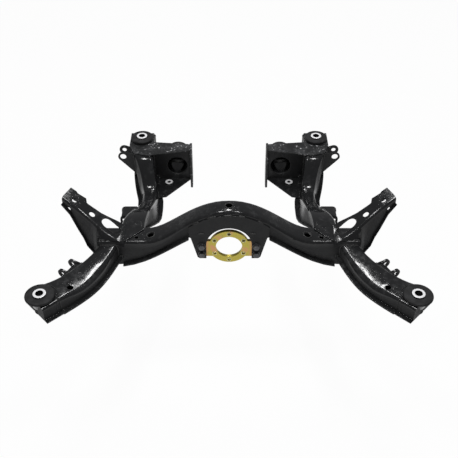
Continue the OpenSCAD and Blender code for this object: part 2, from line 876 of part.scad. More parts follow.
horn_foot_line = [
  [horn_start, horn_width], [8, 39], [20, 47], [45, 57], [58, 54], [70, 44], [78, 38], [94, horn_width],
  [horn_rise_end, horn_width - 1], [horn_length, horn_width - 9]
];
horn_flange = 7;
horn_stations = [
  horn_start, 8, 20, 32, 45, 58, 70, 78, 94, 103, horn_rise_end, 122, 128, horn_rise_end + 24, 148, horn_length
];
function horn_shear(u) = tan(horn_angle) * (1 - ease((u - horn_start) / 40));
function horn_point(u, v, z) =
  let (p = horn_base + (u - v * horn_shear(u)) * horn_out + v * horn_front)
  [p[0], p[1], z];
function horn_ring(u) =
  let (
    top = lookup(u, horn_top_line),
    low = lookup(u, horn_low_line),
    back = -lookup(u, horn_back_line),
    front = half_hat(lookup(u, horn_front_line), lookup(u, horn_foot_line), low, top, bend, horn_flange)
  )
  [for (p = concat([[back, top]], front, [[back, top - sheet]])) horn_point(u, p[0], p[1])];

// Places a shape drawn along, across and over the horn
module on_horn() {
  translate([horn_base[0], horn_base[1], 0])
    rotate([0, 0, 180 - horn_angle])
      children();
}

horn_pivot = [horn_rise_end + 28, horn_crest - 10];
module horn_pivot_bore() {
  translate([horn_pivot[0], far / 2, horn_pivot[1]])
    rotate([90, 0, 0])
      cylinder(d = horn_pivot_d, h = far);
}

module left_horn() {
  color(paint)
    difference() {
      skin_single([for (u = horn_stations) horn_ring(u)]);
      translate([-beam_half - sheet - weld_gap, 0, 0])
        rotate([90, 0, 90])
          linear_extrude(far)
            polygon([
              [beam_front - far, seat - far], [beam_front + far, seat - far], [beam_front + far, beam_end_top + weld_gap],
              [beam_front - weld_gap, beam_end_top + weld_gap], [beam_front - weld_gap, seat + weld_gap],
              [beam_front - far, seat + weld_gap]
            ]);
      on_horn() {
        hull()
          for (u = [21, 43])
            translate([u, 4, -bend])
              cylinder(d = 31, h = 6 * bend, $fn = 32);
        translate([83, 14, 0])
          cylinder(d = 15, h = far);
        translate([horn_rise_end + 20, 11, 0])
          cylinder(d = 14, h = far);
        horn_pivot_bore();
      }
    }
}

horn_rear_gap = 47;
module left_horn_rear_plate() {
  v = horn_width - 5 - horn_rear_gap;
  a = horn_rise_end + 3;
  b = horn_length - 4;
  color(paint)
    difference() {
      on_horn()
        upright(v, sheet)
          polygon([
            [a, lookup(a, horn_top_line) - sheet], [a, horn_crest - 22], [horn_pivot[0] - 8, horn_pivot[1] - 16],
            [b, horn_pivot[1] - 10], [b, lookup(b, horn_top_line) - sheet]
          ]);
      on_horn()
        horn_pivot_bore();
    }
}

// Gusset that laps over the joint of the beam and the leg, up to the horn's inboard edge
module left_joint_gusset() {
  color(paint)
    translate([0, 0, beam_end_top])
      linear_extrude(sheet)
        polygon([
          [horn_edge_x, beam_front + 3], [horn_edge_x + 4, beam_front + 3], [-top_span - 4, beam_rear - 14],
          [-top_span - 12, beam_rear], [-top_span - 16, beam_rear + 21],
          [horn_edge_x, beam_rear + 21]
        ]);
}

// Body bushes
module bush_can() {
  color(paint)
    rotate_extrude($fn = 96)
      polygon([
        [can_od / 2 - can_wall, collar_bottom], [can_od / 2 + can_rim, collar_bottom], [can_od / 2 + can_rim, seat],
        [can_od / 2, seat], [can_end_od / 2, seat - can_length], [can_end_od / 2 - can_wall, seat - can_length]
      ]);
}

rubber_edge = 3;
module bush_rubber(collar_od) {
  color(rubber_black)
    rotate_extrude($fn = 96)
      polygon([
        [sleeve_od / 2, -collar_drop],
        for (p = arc([collar_od / 2 - rubber_edge, -collar_drop - rubber_edge], rubber_edge, 90, 0)) p,
        [collar_od / 2, collar_bottom + 2], [collar_od / 2 - 2, collar_bottom],
        [can_od / 2 - can_wall, collar_bottom], [can_end_od / 2 - can_wall, seat - can_length],
        [sleeve_od / 2 + 1, seat - can_length - 2], [sleeve_od / 2, seat - can_length - 2]
      ]);
}

sleeve_chamfer = 1;
module bush_sleeve() {
  color(bright_steel)
    rotate_extrude($fn = 96)
      polygon([
        [sleeve_id / 2, 0], [sleeve_od / 2 - sleeve_chamfer, 0],
        [sleeve_od / 2, -sleeve_chamfer], [sleeve_od / 2, -sleeve_length], [sleeve_id / 2, -sleeve_length]
      ]);
}

// The right side is the left one mirrored
module right() {
  mirror([1, 0, 0])
    children();
}

cross_beam_upper();
cross_beam_lower();
cross_beam_end_plates();
diff_mount_plate();
adapter_ring();
adapter_bolts();
adapter_nuts();
left_arm_upper();
left_arm_lower();
left_bush_socket();
left_arm_clevis();
left_leg_upper();
left_leg_lower();
left_leg_clevis();
left_tower_back();
left_tower_cap();
left_tower_clevis_front();
left_tower_clevis_rear();
left_inner_web();
left_inner_shelf();
left_shelf_collar();
left_bush_eye();
left_end_flange();
left_joint_gusset();
left_horn();
left_horn_rear_plate();
at_front_mount() bush_can();  // front_left_can
at_front_mount() bush_rubber(front_collar_od);  // front_left_rubber
at_front_mount() bush_sleeve();  // front_left_sleeve
at_rear_mount() bush_can();  // rear_left_can
at_rear_mount() bush_rubber(rear_collar_od);  // rear_left_rubber
at_rear_mount() bush_sleeve();  // rear_left_sleeve
right() left_arm_upper();  // right_arm_upper
right() left_arm_lower();  // right_arm_lower
right() left_bush_socket();  // right_bush_socket
right() left_arm_clevis();  // right_arm_clevis
right() left_leg_upper();  // right_leg_upper
right() left_leg_lower();  // right_leg_lower
right() left_leg_clevis();  // right_leg_clevis
right() left_tower_back();  // right_tower_back
right() left_tower_cap();  // right_tower_cap
right() left_tower_clevis_front();  // right_tower_clevis_front
right() left_tower_clevis_rear();  // right_tower_clevis_rear
right() left_inner_web();  // right_inner_web
right() left_inner_shelf();  // right_inner_shelf
right() left_shelf_collar();  // right_shelf_collar
right() left_bush_eye();  // right_bush_eye
right() left_end_flange();  // right_end_flange
right() left_joint_gusset();  // right_joint_gusset
right() left_horn();  // right_horn
right() left_horn_rear_plate();  // right_horn_rear_plate
right() at_front_mount() bush_can();  // front_right_can
right() at_front_mount() bush_rubber(front_collar_od);  // front_right_rubber
right() at_front_mount() bush_sleeve();  // front_right_sleeve
right() at_rear_mount() bush_can();  // rear_right_can
right() at_rear_mount() bush_rubber(rear_collar_od);  // rear_right_rubber
right() at_rear_mount() bush_sleeve();  // rear_right_sleeve
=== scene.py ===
import math

import bmesh
import bpy
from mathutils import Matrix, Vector
from mathutils.bvhtree import BVHTree


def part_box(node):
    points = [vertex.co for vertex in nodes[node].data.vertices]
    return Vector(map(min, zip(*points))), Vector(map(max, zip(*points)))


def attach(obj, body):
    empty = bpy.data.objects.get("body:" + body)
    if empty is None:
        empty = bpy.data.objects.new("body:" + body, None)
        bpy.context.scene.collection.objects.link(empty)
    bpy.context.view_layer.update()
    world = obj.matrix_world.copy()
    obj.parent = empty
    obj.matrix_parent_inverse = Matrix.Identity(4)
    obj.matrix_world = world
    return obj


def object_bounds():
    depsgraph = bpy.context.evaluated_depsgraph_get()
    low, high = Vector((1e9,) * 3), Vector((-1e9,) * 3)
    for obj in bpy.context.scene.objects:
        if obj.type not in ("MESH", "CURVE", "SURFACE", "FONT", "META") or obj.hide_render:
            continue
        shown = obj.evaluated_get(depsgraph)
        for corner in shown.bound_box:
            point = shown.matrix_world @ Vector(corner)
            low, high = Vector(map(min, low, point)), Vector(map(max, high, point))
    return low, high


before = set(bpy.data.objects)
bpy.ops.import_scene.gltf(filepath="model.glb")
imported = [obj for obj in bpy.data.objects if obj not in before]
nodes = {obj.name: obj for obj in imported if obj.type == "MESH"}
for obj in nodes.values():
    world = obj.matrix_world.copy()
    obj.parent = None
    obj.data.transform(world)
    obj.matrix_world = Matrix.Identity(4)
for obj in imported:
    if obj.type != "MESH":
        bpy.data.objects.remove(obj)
cad_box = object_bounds()

bl_info = {
    "name": "Rear axle subframe",
    "version": (1, 0, 0),
    "blender": (4, 5, 0),
    "location": "View3D > Sidebar > Subframe",
    "description": "Dresses the packed subframe with paint, plating, rubber and weld beads",
    "category": "Object",
}

# Endings of the names of turned pieces, and of pieces with another finish than the black paint
TURNED = ("_rubber", "_sleeve", "_can", "bush_eye", "shelf_collar")
NOT_BLACK = (
    "_rubber", "_sleeve", "shelf_collar", "tower_cap", "end_flange",
    "adapter_ring", "adapter_bolts", "adapter_nuts",
)

# Vertices nearer than this are one, in metres
JOIN = 1e-5

# A distance that is outside the part from any point of it, in metres
OUTSIDE = 0.5

# Beads shorter than this are left out, in metres
SHORTEST_BEAD = 0.009


class Shade:
    """Wraps one socket of a shader tree, so that shader maths reads as Python."""

    def __init__(self, tree, socket=None):
        self.tree = tree
        self.socket = socket

    def put(self, socket, value):
        """Links a wrapped socket, or sets a plain value."""
        if isinstance(value, Shade):
            self.tree.links.new(value.socket, socket)
        elif hasattr(value, "__len__") and len(value) == 3 and len(socket.default_value) == 4:
            socket.default_value = (*value, 1.0)
        else:
            socket.default_value = value

    def add(self, kind, settings=None, inputs=None, output=0):
        """Adds a node of that kind, sets it up, fills its sockets and returns one output."""
        node = self.tree.nodes.new(kind)
        for name, value in (settings or {}).items():
            setattr(node, name, value)
        for name, value in (inputs or {}).items():
            self.put(node.inputs[name], value)
        return Shade(self.tree, node.outputs[output])

    def calc(self, operation, a, b=0.0):
        """One step of shader maths on values or sockets."""
        return self.add("ShaderNodeMath", {"operation": operation}, {0: a, 1: b})

    def __add__(self, other):
        return self.calc("ADD", self, other)

    __radd__ = __add__

    def __mul__(self, other):
        return self.calc("MULTIPLY", self, other)

    def noise(self, place, scale, detail=4.0, roughness=0.55):
        return self.add(
            "ShaderNodeTexNoise",
            inputs={"Vector": place, "Scale": scale, "Detail": detail, "Roughness": roughness},
        )

    def step(self, low, high):
        """Runs from 0 at low to 1 at high."""
        return self.add(
            "ShaderNodeMapRange",
            {"interpolation_type": "SMOOTHSTEP"},
            {"Value": self, "From Min": low, "From Max": high},
        )

    def blend(self, first, second):
        """Mixes two colours, with this value as the share of the second."""
        node = self.tree.nodes.new("ShaderNodeMix")
        node.data_type = "RGBA"
        self.put(node.inputs["Factor"], self)
        self.put(node.inputs[6], first)
        self.put(node.inputs[7], second)
        return Shade(self.tree, node.outputs[2])


class Finish:
    """A material with one principled shader, filled from expressions."""

    def __init__(self, name):
        self.material = bpy.data.materials.new(name)
        self.material.use_nodes = True
        self.tree = self.material.node_tree
        self.shader = self.tree.nodes["Principled BSDF"]
        self.start = Shade(self.tree)
        self.place = self.start.add("ShaderNodeTexCoord", output="Object")

    def fill(self, **values):
        for name, value in values.items():
            self.start.put(self.shader.inputs[name.replace("_", " ")], value)

    def relief(self, height, strength, depth):
        normal = self.start.add(
            "ShaderNodeBump", inputs={"Height": height, "Strength": strength, "Distance": depth}
        )
        self.fill(Normal=normal)


class FinishSettings(bpy.types.PropertyGroup):
    """Colours of the finishes"""

    paint: bpy.props.FloatVectorProperty(
        name="Paint", description="Dipped black of the pressings", subtype="COLOR",
        size=3, default=(0.0120, 0.0123, 0.0129), min=0.0, max=1.0,
    )
    dust: bpy.props.FloatVectorProperty(
        name="Dull paint", description="Black where it is dull and dusty", subtype="COLOR",
        size=3, default=(0.031, 0.0315, 0.0325), min=0.0, max=1.0,
    )
    worn: bpy.props.FloatVectorProperty(
        name="Worn plate", description="Grey of the tower caps and end flanges", subtype="COLOR",
        size=3, default=(0.050, 0.051, 0.053), min=0.0, max=1.0,
    )
    zinc: bpy.props.FloatVectorProperty(
        name="Zinc", description="Gold of the plated adapter ring", subtype="COLOR",
        size=3, default=(0.50, 0.42, 0.085), min=0.0, max=1.0,
    )
    steel: bpy.props.FloatVectorProperty(
        name="Bright steel", description="Machined bush sleeves", subtype="COLOR",
        size=3, default=(0.93, 0.93, 0.94), min=0.0, max=1.0,
    )
    bolt: bpy.props.FloatVectorProperty(
        name="Fasteners", description="Dark phosphated bolts and nuts", subtype="COLOR",
        size=3, default=(0.085, 0.085, 0.09), min=0.0, max=1.0,
    )
    rubber: bpy.props.FloatVectorProperty(
        name="Rubber", description="Moulded bush rubber", subtype="COLOR",
        size=3, default=(0.014, 0.014, 0.0145), min=0.0, max=1.0,
    )


class EdgeSettings(bpy.types.PropertyGroup):
    """How the edges of the pieces are eased"""

    width: bpy.props.FloatProperty(
        name="Edge width", description="Width of the eased edges of sheet and plate",
        default=0.0009, min=0.0, max=0.003, unit="LENGTH",
    )
    angle: bpy.props.FloatProperty(
        name="Edge angle", description="Edges that turn by more than this are eased",
        default=math.radians(38), subtype="ANGLE",
    )


class WeldSettings(bpy.types.PropertyGroup):
    """Weld beads and pressed lips"""

    pitch: bpy.props.FloatProperty(
        name="Ripple pitch", description="Distance between the ripples of a bead", default=0.0046, min=0.001,
        unit="LENGTH",
    )
    ripple: bpy.props.FloatProperty(
        name="Ripple", description="Share of a bead's radius that its ripples take", default=0.2,
        min=0.0, max=0.5,
    )
    reach: bpy.props.FloatProperty(
        name="Joint gap", description="An edge this near to the other piece is welded to it", default=0.0008,
        min=0.0, unit="LENGTH",
    )


class StageSettings(bpy.types.PropertyGroup):
    """Camera, floor and lights"""

    camera_place: bpy.props.FloatVectorProperty(
        name="Camera", description="Place of the camera", default=(0.0, -1.325, 1.334), subtype="TRANSLATION",
        unit="LENGTH", size=3,
    )
    camera_tilt: bpy.props.FloatProperty(
        name="Tilt", description="Turn of the camera up from straight down", default=math.radians(49.7),
        subtype="ANGLE",
    )
    lens: bpy.props.FloatProperty(
        name="Lens", description="Focal length in millimetres", default=58.87, min=10.0,
    )
    floor_drop: bpy.props.FloatProperty(
        name="Floor drop", description="Distance of the floor under the part", default=0.35, unit="LENGTH",
    )
    floor_glow: bpy.props.FloatProperty(
        name="Floor glow", description="Share of plain white in the floor that is seen", default=0.96,
        min=0.0, max=1.0,
    )
    around: bpy.props.FloatVectorProperty(
        name="Surroundings", description="Even light from all round", subtype="COLOR", size=3,
        default=(0.22, 0.22, 0.225), min=0.0, max=1.0,
    )
    strip_power: bpy.props.FloatProperty(
        name="Back strip", description="Power of the strip above the rear, in watts", default=25.0, min=0.0,
    )
    box_power: bpy.props.FloatProperty(
        name="Side boxes", description="Power of each box above an arm, in watts", default=15.0, min=0.0,
    )


def soften(node, settings):
    """Smooth bends and eased sharp edges, by modifiers alone."""
    obj = nodes[node]
    mesh = obj.data
    custom = mesh.attributes.get("custom_normal")
    if custom is not None:
        mesh.attributes.remove(custom)
    mesh.polygons.foreach_set("use_smooth", [True] * len(mesh.polygons))
    weld = obj.modifiers.new("Join", "WELD")
    weld.merge_threshold = JOIN
    if not node.endswith(TURNED):
        flat = obj.modifiers.new("Flat faces", "DECIMATE")
        flat.decimate_type = "DISSOLVE"
        flat.angle_limit = math.radians(0.4)
    bevel = obj.modifiers.new("Eased edges", "BEVEL")
    bevel.width = settings.width
    bevel.segments = 2
    bevel.limit_method = "ANGLE"
    bevel.angle_limit = settings.angle
    bevel.harden_normals = True


def clothe(names, finish):
    """Gives the named pieces that finish alone."""
    for name in names:
        mesh = nodes[name].data
        mesh.materials.clear()
        mesh.materials.append(finish.material)


def named(*endings):
    """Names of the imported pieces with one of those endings."""
    return [n for n in sorted(nodes) if n.endswith(endings)]


class SUBFRAME_OT_soften_edges(bpy.types.Operator):
    """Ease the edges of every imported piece"""

    bl_idname = "subframe.soften_edges"
    bl_label = "Soften edges"

    def execute(self, context):
        for name in sorted(nodes):
            soften(name, context.scene.subframe_edges)
        return {"FINISHED"}


class SUBFRAME_OT_paint_pressings(bpy.types.Operator):
    """Dip the pressings and brackets in black"""

    bl_idname = "subframe.paint_pressings"
    bl_label = "Paint pressings"

    def execute(self, context):
        colours = context.scene.subframe_finish
        clothe([n for n in sorted(nodes) if not n.endswith(NOT_BLACK)], black_paint(colours))
        clothe(named("tower_cap", "end_flange"), worn_plate(colours))
        return {"FINISHED"}


class SUBFRAME_OT_plate_adapter(bpy.types.Operator):
    """Plate the adapter ring and darken its bolts and nuts"""

    bl_idname = "subframe.plate_adapter"
    bl_label = "Plate adapter"

    def execute(self, context):
        colours = context.scene.subframe_finish
        clothe(["adapter_ring"], gold_zinc(colours))
        clothe(["adapter_bolts", "adapter_nuts"], dark_bolt(colours))
        return {"FINISHED"}


class SUBFRAME_OT_finish_bushes(bpy.types.Operator):
    """Give the bushes their rubber and their steel, with painted shade on the sleeves' bores and sides"""

    bl_idname = "subframe.finish_bushes"
    bl_label = "Finish bushes"

    def execute(self, context):
        colours = context.scene.subframe_finish
        clothe(named("_rubber"), moulded_rubber(colours))
        clothe(named("_sleeve", "shelf_collar"), bright_steel(colours))
        return {"FINISHED"}


def black_paint(colours):
    """Dipped black with runs and specks, dull on upright walls."""
    finish = Finish("black_paint")
    start, place = finish.start, finish.place
    patches = start.noise(place, 11.0, 5.0, 0.6)
    mottle = start.noise(place, 70.0, 5.0, 0.62)
    peel = start.noise(place, 520.0, 2.0, 0.5)
    cells = start.add("ShaderNodeTexVoronoi", inputs={"Vector": place, "Scale": 260.0})
    specks = cells.step(0.20, 0.05)
    dull = (patches * 0.55 + mottle * 0.45).step(0.48, 0.66)
    facing = start.add("ShaderNodeNewGeometry", output="Normal")
    up = start.add("ShaderNodeSeparateXYZ", inputs={"Vector": facing}, output="Z")
    wall = start.calc("ABSOLUTE", up).step(0.30, 0.08)
    finish.fill(
        Base_Color=dull.blend(tuple(colours.paint), tuple(colours.dust)),
        Roughness=0.11 + dull * 0.14 + mottle.step(0.45, 0.7) * 0.05 + wall * 0.5,
        IOR=1.42,
    )
    finish.relief(mottle * 0.34 + peel * 0.10 + specks * 0.22, 0.30, 0.0016)
    return finish


def worn_plate(colours):
    """Black rubbed thin, with bare specks."""
    finish = Finish("worn_grey")
    start, place = finish.start, finish.place
    patches = start.noise(place, 26.0, 5.0, 0.6)
    scratch = start.noise(place, 150.0, 4.0, 0.6)
    rubbed = (patches * 0.6 + scratch * 0.4).step(0.42, 0.62)
    bare = scratch.step(0.60, 0.68) * patches.step(0.42, 0.56)
    dull = rubbed.blend((0.016, 0.0165, 0.017), tuple(colours.worn))
    finish.fill(
        Base_Color=bare.blend(dull, (0.75, 0.75, 0.76)),
        Roughness=0.34 + rubbed * 0.2,
        IOR=1.3,
    )
    finish.relief(scratch, 0.3, 0.0010)
    return finish


def gold_zinc(colours):
    """Yellow plating that turns pink on the tabs and green in stains."""
    finish = Finish("zinc_gold")
    start, place = finish.start, finish.place
    clouds = start.noise(place, 34.0, 3.0, 0.5)
    stains = start.noise(place, 80.0, 4.0, 0.6)
    grain = start.noise(place, 900.0, 3.0, 0.6)
    across = start.add("ShaderNodeSeparateXYZ", inputs={"Vector": place}, output="X")
    tab = start.calc("ABSOLUTE", across).step(0.050, 0.062)
    warm = start.calc("MAXIMUM", clouds.step(0.55, 0.70), tab * (0.45 + clouds * 0.7))
    green = stains.step(0.55, 0.70)
    base = warm.blend(tuple(colours.zinc), (0.62, 0.33, 0.16))
    finish.fill(
        Base_Color=(green * 0.5).blend(base, (0.30, 0.34, 0.08)),
        Metallic=0.85 + stains * 0.1,
        Roughness=0.30 + grain * 0.16,
    )
    finish.relief(grain, 0.2, 0.0004)
    return finish


def painted_glint_zinc():
    """Pale plating colour for the rims of holes, standing for a painted highlight where their edges glint."""
    finish = Finish("painted_glint_zinc")
    start, place = finish.start, finish.place
    grain = start.noise(place, 500.0, 3.0, 0.5)
    # Painted highlight: the pale yellow stands for the glint on the hole edges
    finish.fill(
        Base_Color=grain.step(0.3, 0.7).blend((0.90, 0.86, 0.38), (0.97, 0.95, 0.62)),
        Metallic=0.35 + grain * 0.1,
        Roughness=0.22 + grain * 0.1,
    )
    finish.relief(grain, 0.1, 0.0002)
    return finish


def dark_bolt(colours):
    """Phosphated steel."""
    finish = Finish("bolt_grey")
    start, place = finish.start, finish.place
    worn = start.noise(place, 240.0, 4.0, 0.6)
    finish.fill(
        Base_Color=worn.step(0.45, 0.7).blend(tuple(colours.bolt), (0.17, 0.17, 0.175)),
        Metallic=0.75 + worn * 0.2,
        Roughness=0.30 + worn * 0.25,
    )
    finish.relief(worn, 0.2, 0.0003)
    return finish


def bright_steel(colours):
    """Machined end faces. Faces that look up take the steel colour, and bores and sides take a near black:
    painted light and shade by facing.
    """
    finish = Finish("bright_steel")
    start, place = finish.start, finish.place
    turning = start.noise(place, 700.0, 3.0, 0.5)
    stain = start.noise(place, 90.0, 3.0, 0.5)
    facing = start.add("ShaderNodeNewGeometry", output="Normal")
    up = start.add("ShaderNodeSeparateXYZ", inputs={"Vector": facing}, output="Z").step(0.35, 0.75)
    bright = stain.step(0.55, 0.8).blend(tuple(colours.steel), (0.70, 0.70, 0.71))
    # Painted shade: near black on bores and sides, steel only on faces that look up
    finish.fill(
        Base_Color=up.blend((0.012, 0.012, 0.013), bright),
        Metallic=0.25 + stain * 0.1,
        Roughness=0.32 + turning * 0.2,
    )
    finish.relief(turning, 0.15, 0.0002)
    return finish


def moulded_rubber(colours):
    """Matt rubber with a light bloom."""
    finish = Finish("rubber")
    start, place = finish.start, finish.place
    bloom = start.noise(place, 45.0, 5.0, 0.6)
    grain = start.noise(place, 800.0, 3.0, 0.6)
    finish.fill(
        Base_Color=bloom.step(0.42, 0.7).blend(tuple(colours.rubber), (0.030, 0.030, 0.031)),
        Roughness=0.55 + bloom * 0.2,
        IOR=1.3,
    )
    finish.relief(grain, 0.3, 0.0004)
    return finish


def joined_copy(name):
    """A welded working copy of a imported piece, in the row frame."""
    shape = bmesh.new()
    shape.from_mesh(nodes[name].data)
    bmesh.ops.remove_doubles(shape, verts=shape.verts, dist=JOIN)
    return shape


def joint_lines(first, second, reach):
    """Sharp edges of the first piece that lie on the second one, joined to lines."""
    shape = joined_copy(first)
    other = joined_copy(second)
    surface = BVHTree.FromBMesh(other)
    other.free()

    def on_surface(point):
        return surface.find_nearest(point, reach)[0] is not None

    ends = {}
    for edge in shape.edges:
        if len(edge.link_faces) != 2 or edge.calc_face_angle(0.0) < math.radians(30):
            continue
        a, b = edge.verts
        if on_surface(a.co) and on_surface(b.co) and on_surface((a.co + b.co) / 2):
            ends.setdefault(a.index, set()).add(b.index)
            ends.setdefault(b.index, set()).add(a.index)
    places = [v.co.copy() for v in shape.verts]
    shape.free()
    lines = []
    for first_end in sorted(ends, key=lambda i: (len(ends[i]) != 1, i)):
        while ends[first_end]:
            here = first_end
            line = [places[here]]
            while ends[here]:
                there = min(ends[here])
                ends[here].discard(there)
                ends[there].discard(here)
                line.append(places[there])
                here = there
            lines.append(line)
    return lines


def evenly(line, step):
    """The same line with points at an even distance."""
    lengths = [(b - a).length for a, b in zip(line, line[1:])]
    whole = sum(lengths)
    count = max(2, round(whole / step))
    points = []
    leg, passed = 0, 0.0
    for i in range(count + 1):
        goal = whole * i / count
        while leg < len(lengths) - 1 and passed + lengths[leg] < goal:
            passed += lengths[leg]
            leg += 1
        share = (goal - passed) / lengths[leg] if lengths[leg] else 0.0
        points.append(line[leg].lerp(line[leg + 1], min(1.0, share)))
    return points


def add_bead(shape, line, radius, settings, sides=7):
    """Adds a rippled bead along a line to a mesh in the making."""
    length = sum((b - a).length for a, b in zip(line, line[1:]))
    if length < SHORTEST_BEAD:
        return
    points = evenly(line, settings.pitch / 3)
    last = len(points) - 1
    rings = []
    side = None
    for i, point in enumerate(points):
        along = (points[min(i + 1, last)] - points[max(i - 1, 0)]).normalized()
        if side is None:
            side = along.orthogonal()
        side = (side - along * side.dot(along)).normalized()
        up = along.cross(side)
        wave = 1.0 + settings.ripple * math.sin(i * 2.1) + 0.06 * math.sin(i * 0.73 + radius * 9000)
        end = min(1.0, (min(i, last - i) + 0.6) / 2.5)
        size = radius * wave * math.sqrt(end)
        turns = [2 * math.pi * k / sides for k in range(sides)]
        rings.append([shape.verts.new(point + size * (math.cos(t) * side + math.sin(t) * up)) for t in turns])
    for a, b in zip(rings, rings[1:]):
        for k in range(sides):
            n = (k + 1) % sides
            shape.faces.new((a[k], a[n], b[n], b[k]))
    shape.faces.new(rings[0][::-1])
    shape.faces.new(rings[-1])


def add_piece(name, shape, material, smooth=True):
    """Turns a mesh in the making into a piece of the part."""
    mesh = bpy.data.meshes.new(name)
    bmesh.ops.recalc_face_normals(shape, faces=shape.faces)
    shape.to_mesh(mesh)
    shape.free()
    mesh.polygons.foreach_set("use_smooth", [smooth] * len(mesh.polygons))
    mesh.materials.append(material)
    piece = bpy.data.objects.new(name, mesh)
    bpy.context.scene.collection.objects.link(piece)
    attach(piece, "root")


def ring_line(centre, radius, from_turn=0.0, to_turn=360.0, steps=48):
    """Points of a level circle or a part of one, in metres and degrees."""
    points = []
    for i in range(steps + 1):
        turn = math.radians(from_turn + (to_turn - from_turn) * i / steps)
        points.append(Vector(centre) + radius * Vector((math.cos(turn), math.sin(turn), 0.0)))
    return points


def straight_line(middle, length, y, z, steps=8):
    """Points of a line along X."""
    return [Vector((middle + length * (i / steps - 0.5), y, z)) for i in range(steps + 1)]


def laid_on(names, line, direction=(0.0, 0.0, -1.0)):
    """The line moved along the direction, from outside, until it lies on the named pieces."""
    surfaces = []
    for name in names:
        shape = joined_copy(name)
        surfaces.append(BVHTree.FromBMesh(shape))
        shape.free()
    way = Vector(direction)
    laid = []
    for point in line:
        start = point - way * OUTSIDE
        hits = [s.ray_cast(start, way)[0] for s in surfaces]
        hits = [h for h in hits if h is not None]
        if hits:
            laid.append(min(hits, key=lambda h: (h - start).length))
    return laid


# Pairs that are welded along the first one's edges, with the bead's radius in metres
SIDE_WELDS = (
    ("arm_upper", "cross_beam_upper", 0.0028), ("leg_upper", "cross_beam_upper", 0.0028),
    ("horn", "cross_beam_upper", 0.0022), ("horn", "arm_upper", 0.0022),
    ("joint_gusset", "cross_beam_upper", 0.0020), ("joint_gusset", "leg_upper", 0.0020),
    ("leg_clevis", "leg_upper", 0.0024), ("arm_clevis", "arm_upper", 0.0024),
    ("tower_clevis_front", "leg_upper", 0.0024), ("tower_clevis_rear", "leg_upper", 0.0024),
    ("inner_web", "leg_upper", 0.0024), ("inner_web", "tower_cap", 0.0018),
    ("inner_shelf", "leg_upper", 0.0020), ("inner_shelf", "inner_web", 0.0020),
    ("bush_eye", "inner_web", 0.0020), ("tower_cap", "leg_upper", 0.0020),
    ("tower_back", "leg_upper", 0.0016), ("bush_socket", "arm_upper", 0.0014),
    ("shelf_collar", "inner_shelf", 0.0014), ("inner_web", "end_flange", 0.0018),
    ("horn_rear_plate", "horn", 0.0016),
)

# Short welds along the front plate's top edge: middle and length in metres
STITCHES = ((-0.046, 0.024), (-0.003, 0.024), (0.034, 0.018), (-0.088, 0.016), (0.084, 0.016))

# Short welds on the front plate's face, beside the arch: middle, height and length in metres
FACE_STITCHES = ((-0.075, 0.031, 0.017), (0.064, 0.031, 0.017))

# Distance of the front bushes from the middle, and the seam round their sockets: radius in metres,
# half of its turn in degrees, and the middle of that turn on each side
FRONT_BUSH_X = 0.475
SOCKET_SEAM_R = 0.0455
SOCKET_SEAM_HALF = 74
SOCKET_SEAM_MIDDLE = {"left": 43.0, "right": 137.0}

# Places of the two seams that run along each leg, from the middle of the part, in metres
LEG_SEAMS_X = (0.229, 0.2632)

# Lips round the beam's holes: place, radius and thickness in metres
BEAM_LIPS = (
    (0.0, 0.2245, 0.0105, 0.0016),
    (-0.214, 0.224, 0.0115, 0.0020), (-0.252, 0.215, 0.0066, 0.0011),
    (0.214, 0.224, 0.0115, 0.0020), (0.252, 0.215, 0.0066, 0.0011),
)

# Each horn's oval opening: foot of the horn, its turn, and the oval's ends, offset and radius
HORN_FOOT = (0.290, 0.232)
HORN_TURN = math.radians(23)
OVAL_ENDS = (0.021, 0.043)
OVAL_OFFSET = 0.004
OVAL_R = 0.0166
OVAL_STEPS = 60

# Profiles of the bush eyes' rear lip and of the front bushes' lower rubber: radius and height in metres
EYE_LIP = (
    (0.037, 0.0), (0.037, 0.016), (0.033, 0.021), (0.0185, 0.021),
    (0.0185, 0.018), (0.032, 0.018), (0.0338, 0.015), (0.0338, 0.0),
)
LOWER_RUBBER = ((0.0172, 0.0), (0.0172, 0.017), (0.0205, 0.017), (0.0205, 0.0))
LOWER_RUBBER_FOOT = -0.058

# The adapter ring's holes: count, height of their circle's centre, its radius and the rims' radius
RING_HOLES = 6
RING_Z = -0.021
RING_CIRCLE_R = 0.0455
RING_RIM_R = 0.0055
RING_RIM_STEPS = 32


class SUBFRAME_OT_run_welds(bpy.types.Operator):
    """Run rippled weld beads along the joints of the pressings and brackets"""

    bl_idname = "subframe.run_welds"
    bl_label = "Run welds"

    def execute(self, context):
        settings = context.scene.subframe_welds
        paint = bpy.data.materials["black_paint"]
        for side, sign in (("left", -1), ("right", 1)):
            shape = bmesh.new()
            for first, second, radius in SIDE_WELDS:
                other = second if second in nodes else f"{side}_{second}"
                for line in joint_lines(f"{side}_{first}", other, settings.reach):
                    add_bead(shape, line, radius, settings)
            back = SOCKET_SEAM_MIDDLE[side]
            centre = (sign * FRONT_BUSH_X, 0.0, 0.0)
            rim = ring_line(centre, SOCKET_SEAM_R, back - SOCKET_SEAM_HALF, back + SOCKET_SEAM_HALF)
            add_bead(shape, laid_on([f"{side}_arm_upper", f"{side}_bush_socket"], rim), 0.0011, settings)
            for x in LEG_SEAMS_X:
                run = [Vector((sign * x, 0.40 + 0.012 * i, 0.0)) for i in range(13)]
                add_bead(shape, laid_on([f"{side}_leg_upper"], run), 0.0013, settings)
            add_piece(f"{side}_weld_beads", shape, paint)
        shape = bmesh.new()
        low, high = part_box("diff_mount_plate")
        for middle, length in STITCHES:
            run = laid_on(["diff_mount_plate"], straight_line(middle, length, high[1] - 0.0025, 0.0))
            add_bead(shape, [Vector((p.x, high[1] - 0.002, p.z)) for p in run], 0.0032, settings)
        for middle, height, length in FACE_STITCHES:
            add_bead(shape, straight_line(middle, length, low[1], height), 0.0026, settings)
        for line in joint_lines("cross_beam_end_plates", "cross_beam_upper", settings.reach):
            add_bead(shape, line, 0.0016, settings)
        add_piece("middle_weld_beads", shape, paint)
        return {"FINISHED"}


